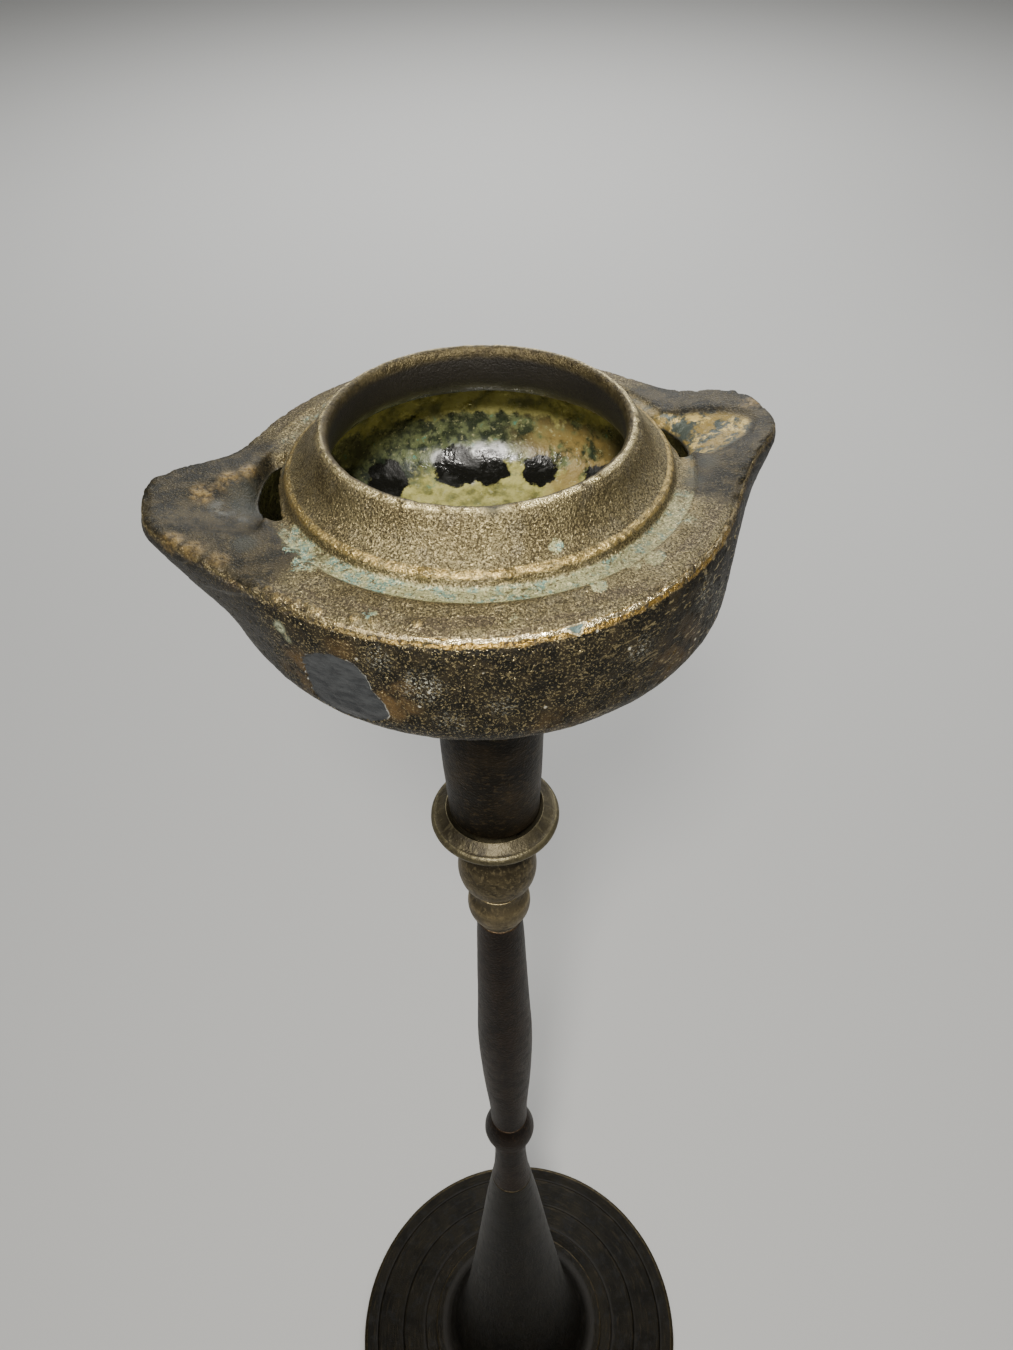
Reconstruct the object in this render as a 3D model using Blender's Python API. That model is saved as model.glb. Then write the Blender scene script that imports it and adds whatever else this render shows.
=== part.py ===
"""Two-nozzle bronze oil lamp standing on a tall turned lampstand.

Metres, +Z up. The origin is under the middle of the base disc, and the nozzles point along +X and -X.
The lamp lifts straight up off the square pricket at the top of the stand.
All sizes below are in millimetres, and heights are measured from the face that the stand rests on.
"""

import math

import bmesh
import bpy
from mathutils import Vector

MM = 0.001
GAP = 0.3  # between two pieces that touch

# ---- lamp ----
CREST = 560.0  # top of the mouth's lip
CREST_RADIUS = 28.7
LIP_ROUND = 1.6
STEP_RADIUS = 36.1  # moulded step at the collar's base
STEP_HEIGHT = CREST - 8.3
GROOVE_RADIUS = 40.8
GROOVE_FLOOR = STEP_HEIGHT - 2.5
EDGE_RADIUS = 47.0  # sharp edge where the shoulder turns into the bowl
EDGE_HEIGHT = CREST - 11.6
EDGE_OFFSET = 0.6  # the cast edge isn't quite centred on the mouth: it stands this far towards -Y
SHOULDER_RISE = 1.5
WALL = 3.2
BOWL_TURN = (27.0, 529.5)  # centre of the bowl's lower quarter ellipse
BOWL_TURN_SIZE = (21.5, 13.1)
FLOOR_UNDERSIDE = 512.0
SEAT_RADIUS = 16.0  # flat under the bowl that the foot is joined to
LAMP_SIDES = 80

# ---- nozzles ----
# The two beaks are cast alike but aren't twins: each flank falls away from the middle line at its own
# rate. A flank is (half angle, power): its outline has come back by half at the half angle, in degrees.
NOZZLES = (
    {
        "side": "right",
        "turn": -2.5,
        "reach": 11.2,
        "front": (11.8, 2.6),
        "back": (15.0, 6.0),
        "width": 0.86,
    },
    {
        "side": "left",
        "turn": 180.0,
        "reach": 14.6,
        "front": (17.5, 2.2),
        "back": (16.0, 6.0),
        "width": 1.0,
    },
)
NOZZLE_RISE = 3.6  # a nozzle's rim stands this much above the bowl's edge
RISE_HALF_ANGLE = 20.0
BEAK_THICKNESS = 2.0
BEAK_DEPTH = 30.0  # where the underside has run back into the bowl
BEAK_CURVE = 2.2
# The wick hole, from under the collar outwards: distance from the axis, floor, top, half width.
WICK_HOLE = (
    (31.0, 540.5, 547.3, 7.0),
    (34.6, 540.5, 547.4, 7.8),
    (36.2, 540.8, 548.6, 8.2),
    (36.9, 541.0, 556.0, 8.6),
    (41.4, 542.2, 562.0, 9.6),
    (42.6, 545.4, 562.2, 10.6),
)
# The open trough beyond it: share of the way to its outer end, floor, top, half width.
TROUGH = (
    (0.16, 547.4, 563.0, 12.4),
    (0.42, 548.6, 563.6, 12.6),
    (0.74, 549.8, 564.2, 11.0),
    (1.0, 551.2, 564.8, 7.4),
)
TROUGH_MARGIN = 3.6  # rim left beyond the trough's end
TROUGH_SIDES = 28

# ---- foot, socket and pricket ----
FOOT_TOP = FLOOR_UNDERSIDE - GAP
FOOT_BOTTOM = 450.3
SOCKET_BOTTOM = 505.0
SOCKET_TOP = 530.0
SOCKET_SIDE = 13.2
SOCKET_TAPER = 1.4  # narrower by this much at the top
SOCKET_WALL = 1.9
PRICKET_SIDE = 8.0
PRICKET_TOP_SIDE = 5.2
PRICKET_TOP = SOCKET_TOP - SOCKET_WALL - 1.2

# ---- stand ----
PAN_TOP = 450.0
PAN_BOTTOM = 436.0
UPPER_BEAD_BOTTOM = 416.0
LOWER_BEAD_BOTTOM = 401.0
SHAFT_BOTTOM = 268.0
KNOP_BOTTOM = 249.0
STEM_BOTTOM = 214.0
BELL_BOTTOM = 9.8
DISC_RADIUS = 84.3
BORE = 3.3
ROD_RADIUS = 3.0
STAND_SIDES = 32
BASE_SIDES = 48

BRONZE = (0.230, 0.165, 0.085)
DARK_BRONZE = (0.085, 0.058, 0.038)
BLACK_BRONZE = (0.040, 0.036, 0.026)
IRON = (0.060, 0.052, 0.048)


def clear_scene():
    for thing in list(bpy.data.objects):
        bpy.data.objects.remove(thing)


def metal(name, colour, roughness):
    found = bpy.data.materials.new(name)
    found.use_nodes = True
    shader = found.node_tree.nodes["Principled BSDF"]
    shader.inputs["Base Color"].default_value = (*colour, 1.0)
    shader.inputs["Metallic"].default_value = 1.0
    shader.inputs["Roughness"].default_value = roughness
    return found


def place(name, mesh, material):
    thing = bpy.data.objects.new(name, mesh)
    bpy.context.scene.collection.objects.link(thing)
    if material:
        mesh.materials.append(material)
        mesh.shade_smooth()
        mesh.set_sharp_from_angle(angle=math.radians(32.0))
    return thing


def arc(centre, size, start, end, steps):
    """Points on an ellipse, in degrees from +radius towards +height."""
    angles = [math.radians(start + (end - start) * i / steps) for i in range(steps + 1)]
    return [(centre[0] + size[0] * math.cos(a), centre[1] + size[1] * math.sin(a)) for a in angles]


def curve_through(points, per_span):
    """A smooth Catmull-Rom line through the points of a turned outline."""
    ends = [points[0], *points, points[-1]]
    line = []
    for a, b, c, d in zip(ends, ends[1:], ends[2:], ends[3:]):
        for i in range(per_span):
            t = i / per_span
            line.append(
                tuple(
                    0.5
                    * (
                        2 * b[k]
                        + (c[k] - a[k]) * t
                        + (2 * a[k] - 5 * b[k] + 4 * c[k] - d[k]) * t * t
                        + (3 * b[k] - 3 * c[k] + d[k] - a[k]) * t**3
                    )
                    for k in (0, 1)
                )
            )
    return [*line, points[-1]]


def loft(rings, name):
    """A closed mesh over rings of equal length, with both ends filled."""
    form = bmesh.new()
    loops = [[form.verts.new(Vector(point) * MM) for point in ring] for ring in rings]
    for low, high in zip(loops, loops[1:]):
        for i in range(len(low)):
            j = (i + 1) % len(low)
            form.faces.new((low[i], low[j], high[j], high[i]))
    form.faces.new(reversed(loops[0]))
    form.faces.new(loops[-1])
    bmesh.ops.recalc_face_normals(form, faces=form.faces)
    mesh = bpy.data.meshes.new(name)
    form.to_mesh(mesh)
    form.free()
    return mesh


def turned(name, outline, material, sides=STAND_SIDES):
    """A ring-shaped piece: a closed outline of (radius, height) spun about the axis."""
    form = bmesh.new()
    points = [form.verts.new(Vector((r, 0, z)) * MM) for r, z in outline]
    lines = [form.edges.new((a, b)) for a, b in zip(points, [*points[1:], points[0]])]
    bmesh.ops.spin(
        form,
        geom=[*points, *lines],
        axis=(0, 0, 1),
        cent=(0, 0, 0),
        angle=2 * math.pi,
        steps=sides,
        use_merge=True,
    )
    bmesh.ops.recalc_face_normals(form, faces=form.faces)
    mesh = bpy.data.meshes.new(name)
    form.to_mesh(mesh)
    form.free()
    return place(name, mesh, material)


def round_ring(radius, height, sides):
    turns = [2 * math.pi * i / sides for i in range(sides)]
    return [(radius * math.cos(t), radius * math.sin(t), height) for t in turns]


def square_ring(side, height, sides=4):
    """A square outline with the given number of points, one of them at each corner."""
    ring = []
    for x, y, z in round_ring(1.0, height, sides):
        spread = (side / 2) / max(abs(x + y), abs(x - y)) * math.sqrt(2)
        ring.append(((x - y) * spread / math.sqrt(2), (x + y) * spread / math.sqrt(2), z))
    return ring


def cut(thing, tool, name):
    tool.hide_render = True
    tool.display_type = "WIRE"
    opening = thing.modifiers.new(name, "BOOLEAN")
    opening.operation = "DIFFERENCE"
    opening.solver = "EXACT"
    opening.object = tool


# ---- lamp ----


def nozzle_lift(angle):
    """How far both nozzles push the outline out at this angle, and their share of the rim's rise."""
    reach, rise = 0.0, 0.0
    for nozzle in NOZZLES:
        off = (math.degrees(angle) - nozzle["turn"] + 180) % 360 - 180
        towards_front = (off < 0) == (nozzle["side"] == "right")
        half_angle, power = nozzle["front" if towards_front else "back"]
        reach += nozzle["reach"] / (1 + (abs(off) / half_angle) ** power)
        rise += 1 / (1 + (abs(off) / RISE_HALF_ANGLE) ** 4)
    return reach, rise


def beak_share(height):
    """How much of the nozzle's reach the bowl's wall has at this height: all of it in the beak."""
    depth = EDGE_HEIGHT - height
    return max(0.0, min(1.0, (BEAK_DEPTH - depth) / (BEAK_DEPTH - BEAK_THICKNESS))) ** BEAK_CURVE


def outer_points():
    """Rows of radius, height, share of the nozzle's reach and share of its rise, from the seat up."""
    bowl = [(SEAT_RADIUS - 0.1, FLOOR_UNDERSIDE), (SEAT_RADIUS, FLOOR_UNDERSIDE), (22.0, 514.3)]
    bowl += arc(BOWL_TURN, BOWL_TURN_SIZE, -90, 0, 9)
    bowl += [(48.6, 535.5), (48.5, 540.5), (48.0, 544.5), (47.3, 547.0)]
    rows = [(r, z, beak_share(z), max(0.0, 1 - (EDGE_HEIGHT - z) / 8)) for r, z in bowl]
    for r, z in arc((EDGE_RADIUS - 0.7, EDGE_HEIGHT - 0.7), (0.7, 0.7), 0, 80, 3):
        rows.append((r, z, 1.0, 1.0))
    for share in (0.72, 0.4):
        r = GROOVE_RADIUS + (EDGE_RADIUS - GROOVE_RADIUS) * share
        rows.append((r, EDGE_HEIGHT + SHOULDER_RISE * (1 - share), share, share))
    top = EDGE_HEIGHT + SHOULDER_RISE
    rows += [(GROOVE_RADIUS + 0.4, top, 0, 0), (GROOVE_RADIUS, top - 0.1, 0, 0)]
    rows += [(GROOVE_RADIUS - 0.7, GROOVE_FLOOR, 0, 0), (STEP_RADIUS + 0.7, GROOVE_FLOOR, 0, 0)]
    rows += [(STEP_RADIUS, STEP_HEIGHT - 0.3, 0, 0), (STEP_RADIUS - 0.6, STEP_HEIGHT, 0, 0)]
    collar = [(34.6, STEP_HEIGHT + 0.5), (32.6, STEP_HEIGHT + 2.2), (31.1, STEP_HEIGHT + 4.4)]
    collar += arc((CREST_RADIUS, CREST - LIP_ROUND), (LIP_ROUND, LIP_ROUND), 0, 90, 3)
    return rows + [(r, z, 0, 0) for r, z in collar]


def inner_points():
    """The reservoir's outline, from the lip's inner side down to the floor."""
    line = arc((CREST_RADIUS, CREST - LIP_ROUND), (LIP_ROUND, LIP_ROUND), 120, 180, 2)
    line += [(27.1, 555.0), (27.9, 551.6), (30.4, 548.6), (34.0, 547.0), (42.0, 545.8)]
    line += [(44.2, 544.6), (45.0, 542.4), (45.4, 536.0)]
    size = (BOWL_TURN_SIZE[0] - WALL, BOWL_TURN_SIZE[1] - WALL)
    line += arc(BOWL_TURN, size, 0, -90, 7)
    return [(r, z, 0, 0) for r, z in [*line, (20.0, 517.4), (14.0, 515.4)]]


def lamp_ring(radius, height, reach, rise):
    ring = []
    for i in range(LAMP_SIDES):
        angle = 2 * math.pi * i / LAMP_SIDES
        out, up = nozzle_lift(angle)
        out = radius + reach * (out - EDGE_OFFSET * math.sin(angle))
        up = height + rise * NOZZLE_RISE * up
        ring.append((out * math.cos(angle), out * math.sin(angle), up))
    return ring


def trough_cutter(nozzle):
    """The wick's trough, with a hole at its inner end that dives under the collar into the reservoir."""
    start = WICK_HOLE[-1][0]
    end = EDGE_RADIUS + nozzle["reach"] - TROUGH_MARGIN
    rows = [*WICK_HOLE, *[(start + share * (end - start), *rest) for share, *rest in TROUGH]]
    rings = []
    for distance, floor, top, half_width in rows:
        middle, half_height = (floor + top) / 2, (top - floor) / 2
        spread = nozzle["width"] * half_width / distance
        ring = []
        for i in range(TROUGH_SIDES):
            around = 2 * math.pi * i / TROUGH_SIDES
            off = math.radians(nozzle["turn"]) + spread * math.cos(around)
            height = middle + half_height * math.sin(around)
            ring.append((distance * math.cos(off), distance * math.sin(off), height))
        rings.append(ring)
    name = f"trough_{nozzle['side']}_cutter"
    return place(name, loft(rings, name), None)


def lamp_body(bronze):
    rings = [lamp_ring(*row) for row in [*outer_points(), *inner_points()]]
    body = place("lamp_body", loft(rings, "lamp_body"), bronze)
    for nozzle in NOZZLES:
        cut(body, trough_cutter(nozzle), f"trough_{nozzle['side']}")
    side = SOCKET_SIDE + 2 * GAP
    hole = loft([square_ring(side, FLOOR_UNDERSIDE - 4), square_ring(side, FLOOR_UNDERSIDE + 8)], "hole")
    cut(body, place("socket_hole_cutter", hole, None), "socket_hole")


def lamp_foot(bronze):
    """Slightly conical tube that carries the bowl and hides the pricket."""
    outer = [(11.5, FOOT_BOTTOM), (11.8, 458.0), (12.3, 472.0), (12.6, 490.0), (12.9, 504.0)]
    outer += [(13.6, 508.6), (14.6, FOOT_TOP)]
    inner = [(10.6, FOOT_TOP), (10.4, 480.0), (9.6, FOOT_BOTTOM)]
    turned("lamp_foot", [*outer, *inner], bronze)


def pricket_socket(bronze):
    """Square sleeve through the bowl's floor, closed at the top, which stands up in the reservoir."""
    inner = SOCKET_SIDE - 2 * SOCKET_WALL
    rings = [
        square_ring(inner - SOCKET_TAPER, SOCKET_TOP - SOCKET_WALL),
        square_ring(inner, SOCKET_BOTTOM),
        square_ring(SOCKET_SIDE, SOCKET_BOTTOM),
        square_ring(SOCKET_SIDE - 0.3, FLOOR_UNDERSIDE + 4),
        square_ring(SOCKET_SIDE - SOCKET_TAPER, SOCKET_TOP - 0.9),
        square_ring(SOCKET_SIDE - SOCKET_TAPER - 1.8, SOCKET_TOP),
    ]
    place("pricket_socket", loft(rings, "pricket_socket"), bronze)


def pricket(iron):
    """Square spike with a round collar, and a tang that goes down through the pan and the beads."""
    sides = 16
    collar = PAN_TOP + GAP
    rings = [
        round_ring(ROD_RADIUS, 396.0, sides),
        round_ring(ROD_RADIUS, collar, sides),
        round_ring(8.6, collar, sides),
        round_ring(8.6, collar + 2.4, sides),
        square_ring(PRICKET_SIDE, collar + 3.2, sides),
        square_ring(PRICKET_TOP_SIDE, PRICKET_TOP - 3, sides),
        square_ring(1.6, PRICKET_TOP, sides),
    ]
    place("pricket", loft(rings, "pricket"), iron)


# ---- stand, from the top down ----


def drip_pan(bronze):
    bored = [(BORE, PAN_BOTTOM), (BORE, PAN_TOP)]
    top = [(12.4, PAN_TOP), (13.4, PAN_TOP - 0.8), (14.9, PAN_TOP - 1.9)]
    rim = arc((14.9, 446.5), (1.6, 1.6), 90, -80, 7)
    under = curve_through([(14.0, 443.9), (11.0, 442.6), (9.4, 440.0), (8.4, PAN_BOTTOM)], 3)
    turned("drip_pan", [*reversed(bored), *top, *rim[1:], *under], bronze)


def bead(name, top, bottom, points, bronze):
    outline = curve_through([(points[0][0], top), *points[1:-1], (points[-1][0], bottom)], 2)
    turned(name, [(BORE, top), *outline, (BORE, bottom)], bronze)


def beads(bronze):
    upper = ((8.4, 0), (8.5, 433.6), (10.0, 430.0), (10.7, 425.0), (9.8, 420.4), (7.6, 417.6), (7.2, 0))
    lower = ((7.2, 0), (7.4, 413.4), (8.5, 411.0), (8.8, 408.0), (8.3, 405.2), (6.9, 402.6), (6.6, 0))
    bead("upper_bead", PAN_BOTTOM - GAP, UPPER_BEAD_BOTTOM, upper, bronze)
    bead("lower_bead", UPPER_BEAD_BOTTOM - GAP, LOWER_BEAD_BOTTOM, lower, bronze)


def shaft(bronze):
    top = LOWER_BEAD_BOTTOM - GAP
    line = [(6.5, top), (7.1, 388.0), (8.1, 358.0), (9.0, 331.0), (8.3, 304.0), (6.9, 280.0)]
    outline = curve_through([*line, (6.7, SHAFT_BOTTOM)], 3)
    turned("shaft", [(BORE, top), *outline, (BORE, SHAFT_BOTTOM)], bronze)


def knop(bronze):
    top = SHAFT_BOTTOM - GAP
    line = [(6.7, top), (8.2, 264.4), (9.3, 259.0), (8.2, 253.4), (6.3, KNOP_BOTTOM)]
    turned("knop", [(BORE, top), *curve_through(line, 3), (BORE, KNOP_BOTTOM)], bronze)


def stem(bronze):
    top = KNOP_BOTTOM - GAP
    line = curve_through([(6.3, top), (6.1, 236.0), (6.9, 222.0), (7.9, STEM_BOTTOM)], 3)
    turned("stem", [(BORE, top), *line, (BORE, STEM_BOTTOM)], bronze)


def foot_bell(bronze):
    """Trumpet-shaped foot, hollow from below, with a solid neck that the rod passes through."""
    top = STEM_BOTTOM - GAP
    flare = [(7.9, top), (9.4, 202.0), (11.6, 184.0), (15.2, 150.0), (19.2, 114.0), (23.4, 78.0)]
    flare += [(28.0, 44.0), (33.5, 20.0), (38.5, 12.6)]
    outer = [*curve_through(flare, 2), (44.5, 11.8), (44.5, BELL_BOTTOM)]
    inner = [(40.5, BELL_BOTTOM), (30.0, 20.0), (24.6, 44.0), (20.0, 78.0), (15.8, 114.0), (11.8, 150.0)]
    inner += [(8.4, 182.0), (BORE, 184.0)]
    turned("foot_bell", [(BORE, top), *outer, *inner], bronze, BASE_SIDES)


def base_disc(bronze):
    """Thin stepped disc. It rests on a flat ring under its rim and is hollowed inside that."""
    top = BELL_BOTTOM - GAP
    outline = [(BORE, 6.5), (BORE, top), (50.0, top), (51.0, top - 0.9), (62.0, 7.4), (63.0, 6.4)]
    outline += [(76.0, 5.2), (77.0, 4.2), (80.0, 4.2)]
    outline += arc((DISC_RADIUS - 2.0, 2.2), (2.0, 2.0), 80, -40, 6)
    outline += [(82.8, 0.0), (74.0, 0.0), (72.5, 1.6), (58.0, 3.2), (46.0, 6.5)]
    turned("base_disc", outline, bronze, BASE_SIDES)


def rod_and_nut(iron):
    turned("core_rod", [(0.4, 1.0), (ROD_RADIUS, 1.0), (ROD_RADIUS, 394.0), (0.4, 394.0)], iron, 16)
    turned("rod_washer", [(BORE, 5.2), (9.5, 5.2), (9.5, 6.2), (BORE, 6.2)], iron, 24)
    height, across_flats = (1.4, 4.9), 10.0
    rings = [
        round_ring(across_flats / math.sqrt(3), height[0], 6),
        round_ring(across_flats / math.sqrt(3), height[1], 6),
    ]
    nut = place("rod_nut", loft(rings, "rod_nut"), iron)
    hole = loft([round_ring(BORE, height[0] - 1, 24), round_ring(BORE, height[1] + 1, 24)], "nut_hole")
    cut(nut, place("nut_hole_cutter", hole, None), "nut_hole")


def build():
    clear_scene()
    bronze = metal("lamp_bronze", BRONZE, 0.42)
    dark = metal("stand_bronze", DARK_BRONZE, 0.5)
    black = metal("base_bronze", BLACK_BRONZE, 0.55)
    iron = metal("forged_iron", IRON, 0.6)
    lamp_body(bronze)
    lamp_foot(bronze)
    pricket_socket(bronze)
    pricket(iron)
    drip_pan(dark)
    beads(dark)
    shaft(dark)
    knop(dark)
    stem(dark)
    foot_bell(black)
    base_disc(black)
    rod_and_nut(iron)


build()
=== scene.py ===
import math
from collections import namedtuple

import bmesh
import bpy
import numpy as np
from mathutils import Matrix, Vector, noise


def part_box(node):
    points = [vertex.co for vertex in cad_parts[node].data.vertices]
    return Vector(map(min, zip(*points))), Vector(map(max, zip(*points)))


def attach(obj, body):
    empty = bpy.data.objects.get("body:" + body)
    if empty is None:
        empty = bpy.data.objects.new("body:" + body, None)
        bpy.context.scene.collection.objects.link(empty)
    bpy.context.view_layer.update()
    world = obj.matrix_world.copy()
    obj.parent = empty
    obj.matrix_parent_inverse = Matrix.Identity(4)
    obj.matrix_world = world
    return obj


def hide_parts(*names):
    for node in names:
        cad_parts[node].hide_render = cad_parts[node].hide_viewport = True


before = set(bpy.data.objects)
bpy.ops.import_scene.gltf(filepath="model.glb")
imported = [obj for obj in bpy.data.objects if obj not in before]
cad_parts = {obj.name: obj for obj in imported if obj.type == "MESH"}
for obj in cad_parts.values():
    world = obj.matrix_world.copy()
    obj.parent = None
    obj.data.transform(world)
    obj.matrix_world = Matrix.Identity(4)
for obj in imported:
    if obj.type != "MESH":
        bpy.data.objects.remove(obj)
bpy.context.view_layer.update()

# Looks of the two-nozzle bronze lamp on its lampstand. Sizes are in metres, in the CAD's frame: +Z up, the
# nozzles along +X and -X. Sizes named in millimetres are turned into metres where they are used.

MM = 0.001

# ---- the lamp's form in millimetres, as in the CAD but for its wick holes ----
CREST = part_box("lamp_body")[1].z / MM
STEP_RADIUS = 36.1
STEP_HEIGHT = CREST - 8.3
GROOVE_RADIUS = 40.8
GROOVE_FLOOR = STEP_HEIGHT - 2.5
EDGE_RADIUS = 47.0
EDGE_HEIGHT = CREST - 11.6
EDGE_OFFSET = 0.6
SHOULDER_RISE = 1.5
WALL = 3.2
BOWL_TURN = (27.0, 529.5)
BOWL_TURN_SIZE = (21.5, 13.1)
FLOOR_UNDERSIDE = 512.0
SEAT_RADIUS = 16.0
LAMP_SIDES = 240
OUTLINE_SAMPLES = 1441
Nozzle = namedtuple("Nozzle", "side turn reach front back width hole")
# Angles are in degrees. A flank is its half angle at half the reach, and how squarely it falls off.
NOZZLES = (
    Nozzle("right", turn=-2.5, reach=11.2, front=(11.8, 2.6), back=(15.0, 6.0), width=0.86, hole=2.0),
    Nozzle("left", turn=180.0, reach=14.6, front=(17.5, 2.2), back=(16.0, 6.0), width=1.0, hole=-8.0),
)
NOZZLE_RISE = 3.6
RISE_HALF_ANGLE = 20.0
BEAK_THICKNESS = 2.0
BEAK_DEPTH = 30.0
BEAK_CURVE = 2.2
HOLE_WIDENING = 0.04  # share added to a turned hole's width for each degree of its turn
# From under the collar outwards: distance from the axis, floor, top, half width.
WICK_HOLE = (
    (31.0, 540.5, 547.3, 6.4),
    (34.6, 540.5, 547.4, 7.0),
    (37.3, 540.8, 548.4, 7.8),
    (38.1, 541.0, 556.0, 8.4),
    (39.9, 542.4, 562.0, 8.8),
    (41.2, 545.8, 562.2, 9.6),
)
# Share of the way to the trough's outer end, floor, top, half width.
TROUGH = (
    (0.16, 547.4, 563.0, 12.4),
    (0.42, 548.6, 563.6, 12.6),
    (0.74, 549.8, 564.2, 11.0),
    (1.0, 551.2, 564.8, 7.4),
)
TROUGH_MARGIN = 3.6
TROUGH_SIDES = 72
SOCKET_SIDE = 13.8
LAMP_VOXEL = 0.5
IRON_VOXEL = 0.35

# ---- wear of the turned pieces ----
LUMP = 0.05
PIT = 0.08
SHARP_BEND = 38.0
SHARP_ROUND = 0.25

# ---- marks on the lamp ----
# Angles are in degrees from +X, and a spot is (angle, radius, height, size, strength).
# The slate-coloured patch's outline, as (angle, height).
PATCH = (
    (-142.5, 537.9), (-138.5, 540.6), (-134.5, 541.7), (-129.6, 541.2),
    (-127.4, 538.6), (-126.6, 535.6), (-124.4, 532.8), (-123.6, 529.6),
    (-126, 527.6), (-134.5, 524.2), (-142.5, 527.2),
)
# The chip's outline, as (distance along the edge, edge gap).
CHIP_ANGLE = -86.0
CHIP = ((-1.8, 0.1), (1.7, 0.4), (0.3, -1.8))
# Knocks and lumps of the casting, whose strength is their height.
LUMPS = (
    (-118.7, 36.4, STEP_HEIGHT, 1.7, 0.5), (-97, 36.2, STEP_HEIGHT, 1.4, 0.42),
    (-121.5, 36.8, STEP_HEIGHT, 1.2, 0.3), (-38, 28.2, CREST - 0.6, 1.6, -0.45),
    (-43, 28.4, CREST - 0.4, 1.3, -0.3), (-128, 29.6, CREST - 0.6, 1.1, 0.3),
    (-136, 33, STEP_HEIGHT + 1.8, 0.9, 0.22), (-83.5, 47.9, 544.3, 1.1, 0.3),
    (-104, 48.4, 530, 0.9, 0.3),
)
# Casting bubbles along the left nozzle's front edge: angle, distance in from the outline.
BUBBLE_SIZE = 1.6
BUBBLE_HEIGHT = 0.5
BUBBLES = (
    (-152, 0.5), (-149.3, 0.9), (-146.6, 0.6), (-144.6, 1.3), (-142.2, 0.7),
    (-139.6, 1.2), (-137.5, 0.6), (-129.4, 1.5), (-125.6, 1.9), (-117, 2.3),
)
# How much green crust lies in the groove at each angle.
VERDIGRIS = (
    (-180, 0), (-170, 0.15), (-160, 0.55), (-148, 0.55), (-136, 0.8), (-124, 1),
    (-116, 0.75), (-90, 0.7), (-62, 0.9), (-44, 0.85), (-34, 0.6), (-25, 0.1),
    (0, 0), (30, 0.1), (70, 0.45), (120, 0.5), (160, 0.1), (180, 0),
)
# Green crust beside the groove.
VERDIGRIS_SPOTS = (
    (-77, 41.5, 549.6, 2.6, 1), (-60, 41.8, 549.6, 3.4, 1),
    (-66, 41, 549.6, 2.4, 0.8), (-82, 33.6, 553.4, 2.1, 1),
    (-42, 41, 549.6, 3, 0.8), (-98, 44.4, 548.9, 2, 0.6),
    (-74, 44, 548.9, 2, 0.55), (-127, 45.5, 548.9, 2.6, 0.7),
    (-150, 40.6, 549.8, 5, 0.75), (-158, 39.4, 550.6, 4.4, 0.8),
    (104, 44, 549, 4, 0.7), (52, 42, 549.6, 4, 0.7),
)
# Brown stains, pale crusts and a green streak on the bowl.
RUST = (
    (-122, 47.9, 533.2, 5.5, 1), (-120, 48.5, 537.5, 3.4, 0.7),
    (-143.5, 48.3, 536.6, 5, 0.85), (-147, 47, 531, 6, 0.6),
    (-132, 48.4, 543.6, 4, 0.55), (-158, 50, 548.4, 4.5, 0.75),
    (-90, 48, 526.5, 7, 0.35), (-60, 48.4, 532.5, 9, 0.4),
    (60, 48.4, 534.5, 11, 0.7), (118, 48.4, 530, 9, 0.6),
)
PALE = (
    (-116, 48.5, 538.5, 5, 1), (-124, 48.4, 543.4, 3.2, 0.8),
    (-111, 47.6, 530.5, 4, 0.55), (-101, 48.5, 534.5, 3.4, 0.5),
    (-72, 48.5, 539.5, 3.6, 0.8), (-52, 48.4, 541.5, 4.6, 0.75),
    (-44, 48.4, 535.5, 4.6, 0.7), (-128, 44.5, 521.5, 6.5, 0.9),
    (-138, 46, 525.5, 5.5, 0.7), (84, 48.4, 540, 8, 0.7),
    (140, 48.4, 537, 6, 0.7),
)
STREAKS = (
    (-146, 49.6, 543.6, 2, 1), (-144.6, 49, 541.6, 1.9, 1),
    (-143.2, 48.6, 539.6, 1.5, 0.8),
)
# Soot, ochre crust and grey smears on the nozzles and the lip; the spots around the left wick hole's outer
# side are painted shade where the trough slopes into the hole.
SOOT_AND_SHADE = (
    (166.5, 36.8, 550.6, 2.3, 0.95), (163, 38.2, 549.4, 2.4, 0.9),
    (167.5, 42.6, 548.8, 2.6, 0.6), (171, 42.8, 548.2, 3, 0.8),
    (175, 42.8, 547.8, 3, 0.85), (176, 43.6, 547.5, 5, 0.75),
    (171.2, 44.7, 548.6, 3.4, 0.55), (-164.2, 46.5, 550.3, 3.2, 0.75),
    (-25, 39.6, 550, 3, 0.75), (-17, 42.5, 550.6, 3, 0.6),
    (-99.5, 27.7, 559.6, 2.8, 1), (-96.5, 27.5, 559.4, 2.2, 1),
)
OCHRE = (
    (174, 51.2, 549.9, 3, 1), (172, 48.6, 549.6, 2, 0.7),
    (168.8, 46.5, 550.2, 2.6, 1), (165.5, 42.9, 550, 2.8, 1),
    (-170.5, 57.6, 551.6, 3, 0.8), (-166.5, 55, 551.4, 3, 0.7),
    (-162, 52, 550.8, 2.6, 0.6), (3, 56.5, 552, 3.4, 0.7),
)
SLATE = (
    (178, 47.8, 548.8, 3.4, 0.8), (-178, 44, 548.8, 2.4, 0.7),
    (98, 28.6, 559.8, 2.6, 0.8),
)
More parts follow.
